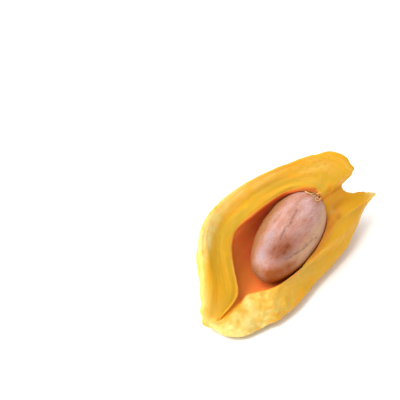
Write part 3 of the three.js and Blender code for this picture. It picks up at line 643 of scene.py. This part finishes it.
# Jackfruit seed coat: a silky, papery membrane over a woody brown kernel, grown smooth. It has a soft
# satin gloss from its outer film, a fine speckle, and a warm edge where light passes through it.
def seed_material():
    pink, blush, kernel = linear("#a66c54"), linear("#b89288"), linear("#74340c")
    honey, smoke, shade = linear("#8c4408"), linear("#c4a4a2"), linear("#8b5a2a")
    thread, film_and_sheen, tan = linear("#5c3c3a"), linear("#9a888a"), linear("#c49870")
    material = bpy.data.materials.new("jackfruit seed coat, silky membrane")
    material.use_nodes = True
    tree = material.node_tree
    tree.nodes.clear()

    place = add(tree, "TexCoord").outputs["Object"]
    stretched = add(tree, "Mapping", Scale=(0.3, 1, 1), Vector=place).outputs[0]
    # The membrane's clouds are 2.6 mm across and drawn out along the seed. Its speckle is 0.55 mm across,
    # drawn coarser than the real one, which is too fine to show.
    speckle = add(tree, "TexNoise", Vector=place, Scale=1000 / 0.55, Detail=3.0, Roughness=0.65).outputs[0]
    clouds = add(tree, "TexNoise", Vector=stretched, Scale=1000 / 2.6, Detail=5.0, Roughness=0.68).outputs[0]
    # The film over the sheen mark is a painted highlight; the shade over the olive mark is partly painted
    # shade, and the honey is painted shade low on the right flank.
    colour = tinted(tree, pink, [
        (blush, 1.0, (clouds, 0.36, 0.64)),
        (tan, 0.8, ("tan", 0, 1)),
        (smoke, 1.0, ("mauve", 0, 1), (clouds, 0.2, 0.6)),
        (film_and_sheen, 1.0, ("sheen", 0, 1), (clouds, 0.2, 0.6)),
        (shade, 0.9, ("olive_and_shade", 0, 1)),
        (film_and_sheen, 0.40, (speckle, 0.52, 0.70)),
        (kernel, 0.38, (speckle, 0.48, 0.30)),
        (kernel, 1.0, ("brown", 0, 1), (clouds, 0.1, 0.55)),
        (honey, 0.97, ("amber_and_shade", 0, 1)),
        (thread, 0.6, ("vein", 0, 1)),
    ])
    bump = add(tree, "Bump", Strength=0.5, Distance=0.00010, Height=speckle).outputs[0]
    satin = add(tree, "MapRange", Value=clouds, From_Min=0.3, From_Max=0.7,
                To_Min=0.30, To_Max=0.46).outputs[0]
    shader = add(tree, "BsdfPrincipled", Base_Color=colour, Roughness=satin, Normal=bump, IOR=1.42,
                 Specular_IOR_Level=0.2, Subsurface_Weight=0.25, Subsurface_Radius=(1.0, 0.45, 0.25),
                 Subsurface_Scale=0.0012)
    add(tree, "OutputMaterial", Surface=shader.outputs[0])
    return material


seed = seed_piece()
seed.data.materials.append(seed_material())
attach(seed, "root")
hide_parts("seed")

# ---- The fibres at the seed's far end ----
# A tuft of thin, springy fibres, the threads that tied the seed to the fruit's core. They are the same
# flesh drawn out into strings, pale and see-through, and they curl about the fold. The last two have an
# end in the pod, the first two only pass through its skin, and the third ends 0.07 mm short of it.
# Each fibre is the control points of its spline, in mm, and its radius at the first of them.
FIBRES = [
    ([(16.1, -0.1, 21.1), (15.9, -1.2, 21.3), (16.0, -2.2, 21.2), (17.4, -2.4, 20.5), (18.9, -2.5, 19.7),
      (19.0, -3.2, 19.5), (17.8, -3.9, 19.7), (16.0, -4.3, 20.5)], 0.12),
    ([(19.2, -4.0, 20.0), (18.8, -3.3, 20.1), (17.7, -3.1, 20.1), (15.9, -3.4, 20.9), (15.4, -3.0, 21.3),
      (16.2, -2.1, 21.1)], 0.11),
    ([(19.5, -3.8, 18.4), (16.9, -5.0, 19.6), (15.1, -5.2, 20.4), (14.7, -4.7, 20.8), (15.4, -4.1, 20.8),
      (16.5, -4.1, 20.4)], 0.11),
    ([(17.6, 0.0, 20.3), (17.8, -1.1, 20.8), (18.3, -1.8, 20.3), (18.6, -2.5, 20.7), (19.0, -3.3, 20.4),
      (19.4, -3.7, 20.6)], 0.08),
    ([(17.5, -4.7, 19.3), (16.1, -4.7, 20.3), (16.7, -3.8, 20.4), (18.7, -3.2, 19.3),
      (19.2, -3.6, 18.9)], 0.09),
]
FIBRE_STEPS, FIBRE_SIDES = 48, 10


def fibre_piece(number, route, thickness):
    """One fibre: rings set square to a spline along its points. The radius is the thickness times one less
    0.75 of the share of the way to the power 1.5, with a slight sine wave, and nothing at the ends. The
    rings turn the other way than those of the pod and the seed, so the faces of a fibre point inwards."""
    route = np.array(route)
    ends = np.concatenate([[2 * route[0] - route[1]], route, [2 * route[-1] - route[-2]]])
    travel = np.linspace(0, len(route) - 1, FIBRE_STEPS)
    spans = np.minimum(travel.astype(int), len(route) - 2)
    path = spline_rows(ends, spans + 1, travel - spans)
    way = unit(np.gradient(path, axis=0))
    side = unit(np.cross(way, [0.3, 0.2, 1.0]))
    above = np.cross(side, way)
    share = travel / travel[-1]
    radius = thickness * (1 - 0.75 * share**1.5) * (1 + 0.18 * np.sin(9 * share * np.pi + number))
    radius[[0, -1]] = 0
    turn = np.arange(FIBRE_SIDES) * 2 * np.pi / FIBRE_SIDES
    around = side[:, None] * np.cos(turn)[:, None] + above[:, None] * np.sin(turn)[:, None]
    return closed_mesh(f"fibre_{number}", path[:, None] + around * radius[:, None, None], {})


# Drawn fibre of the flesh: thin enough for light to pass, so it is pale straw streaked with orange.
def fibre_material():
    material = bpy.data.materials.new("jackfruit fibre, drawn out")
    material.use_nodes = True
    tree = material.node_tree
    tree.nodes.clear()
    place = add(tree, "TexCoord").outputs["Object"]
    # Streaks are about 1.2 mm long.
    streaks = add(tree, "TexNoise", Vector=place, Scale=1000 / 1.2, Detail=3.0).outputs[0]
    colour = add(tree, "Mix", {"data_type": "RGBA"}, s0=streaks,
                 s6=linear("#e2913a"), s7=linear("#f6cc7c")).outputs[2]
    bump = add(tree, "Bump", Strength=0.4, Distance=0.00005, Height=streaks).outputs[0]
    shader = add(tree, "BsdfPrincipled", Base_Color=colour, Roughness=0.35, Normal=bump, IOR=1.38,
                 Subsurface_Weight=0.5, Subsurface_Radius=(1.0, 0.6, 0.3), Subsurface_Scale=0.001)
    add(tree, "OutputMaterial", Surface=shader.outputs[0])
    return material


drawn_fibre = fibre_material()
for number, (route, thickness) in enumerate(FIBRES):
    fibre = fibre_piece(number, route, thickness)
    fibre.data.materials.append(drawn_fibre)
    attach(fibre, "root")

# ---- The table, the light and the camera ----
# A plain white table under one broad softbox, high on the left, and a small weak window light, further
# left and lower, in a bright white room. The camera looks along the pod from its near right side and
# down on it, and aims so that the pod stands right of the picture's middle and below it.
TABLE_HALF = 3.0
# Each light's side in metres, its watts, and how far right of the frame's origin, onward and up it hangs.
LIGHTS = {
    "softbox": (0.4, 3.85, (-0.26, -0.12, 0.42)),
    "window": (0.16, 0.25, (-0.45, 0.06, 0.26)),
}
ROOM_LIGHT = 0.78
# How far the view is turned from +Y towards +X, how steeply it looks down, and from how many metres.
VIEW_SIDE, VIEW_RISE, VIEW_DISTANCE = np.radians(58), np.radians(42), 0.7
SENSOR, FRAME_PIXELS, PIXELS_A_MM = 36.0, 400, 3.4
# A point of the pod, and how far in pixels it stands right of the picture's middle and below it.
AIM_POINT, AIM_OFFSET = Vector((0.005, -0.001, 0)), (87, 68)

right_way = Vector((np.cos(VIEW_SIDE), -np.sin(VIEW_SIDE), 0))
forward_way = Vector((np.sin(VIEW_SIDE), np.cos(VIEW_SIDE), 0))
up_way = forward_way * np.sin(VIEW_RISE) + Vector((0, 0, np.cos(VIEW_RISE)))
back_way = -forward_way * np.cos(VIEW_RISE) + Vector((0, 0, np.sin(VIEW_RISE)))

table_mesh = bpy.data.meshes.new("table")
table_mesh.from_pydata([(x * TABLE_HALF, y * TABLE_HALF, 0) for x, y in [(-1, -1), (1, -1), (1, 1), (-1, 1)]],
                       [], [(0, 1, 2, 3)])
table = bpy.data.objects.new("table", table_mesh)
bpy.context.scene.collection.objects.link(table)
# White laminate, pressed matt: even and pale, with no reflection, so that only soft shadows show on it.
laminate = bpy.data.materials.new("white laminate, matt")
laminate.use_nodes = True
laminate.node_tree.nodes.clear()
laminate_shader = add(laminate.node_tree, "BsdfPrincipled", Base_Color=linear("#fcfbfa"), Roughness=0.8)
add(laminate.node_tree, "OutputMaterial", Surface=laminate_shader.outputs[0])
table_mesh.materials.append(laminate)


def soft_light(name, place, side, watts):
    """A square area light at the place, turned to face the frame's origin."""
    data = bpy.data.lights.new(name, "AREA")
    data.size = side
    data.energy = watts
    lamp = bpy.data.objects.new(name, data)
    lamp.location = place
    lamp.rotation_euler = (-place).to_track_quat("-Z", "Y").to_euler()
    bpy.context.scene.collection.objects.link(lamp)


for name, (side, watts, (rightward, onward, up)) in LIGHTS.items():
    soft_light(name, right_way * rightward + forward_way * onward + Vector((0, 0, up)), side, watts)
room = bpy.data.worlds.new("bright room")
room.use_nodes = True
room.node_tree.nodes["Background"].inputs["Color"].default_value = (1, 1, 1, 1)
room.node_tree.nodes["Background"].inputs["Strength"].default_value = ROOM_LIGHT
bpy.context.scene.world = room

camera_data = bpy.data.cameras.new("camera")
camera_data.sensor_width = SENSOR
camera_data.lens = PIXELS_A_MM * VIEW_DISTANCE * 1000 * SENSOR / FRAME_PIXELS
camera_data.clip_start = 0.01
camera = bpy.data.objects.new("camera", camera_data)
eye = AIM_POINT + back_way * VIEW_DISTANCE
aim = AIM_POINT + (up_way * AIM_OFFSET[1] - right_way * AIM_OFFSET[0]) / PIXELS_A_MM / 1000
lens_back = (eye - aim).normalized()
lens_right = up_way.cross(lens_back).normalized()
turned = Matrix((lens_right, lens_back.cross(lens_right), lens_back)).transposed()
camera.matrix_world = Matrix.Translation(eye) @ turned.to_4x4()
bpy.context.scene.collection.objects.link(camera)
bpy.context.scene.camera = camera
bpy.context.scene.view_settings.view_transform = "Standard"
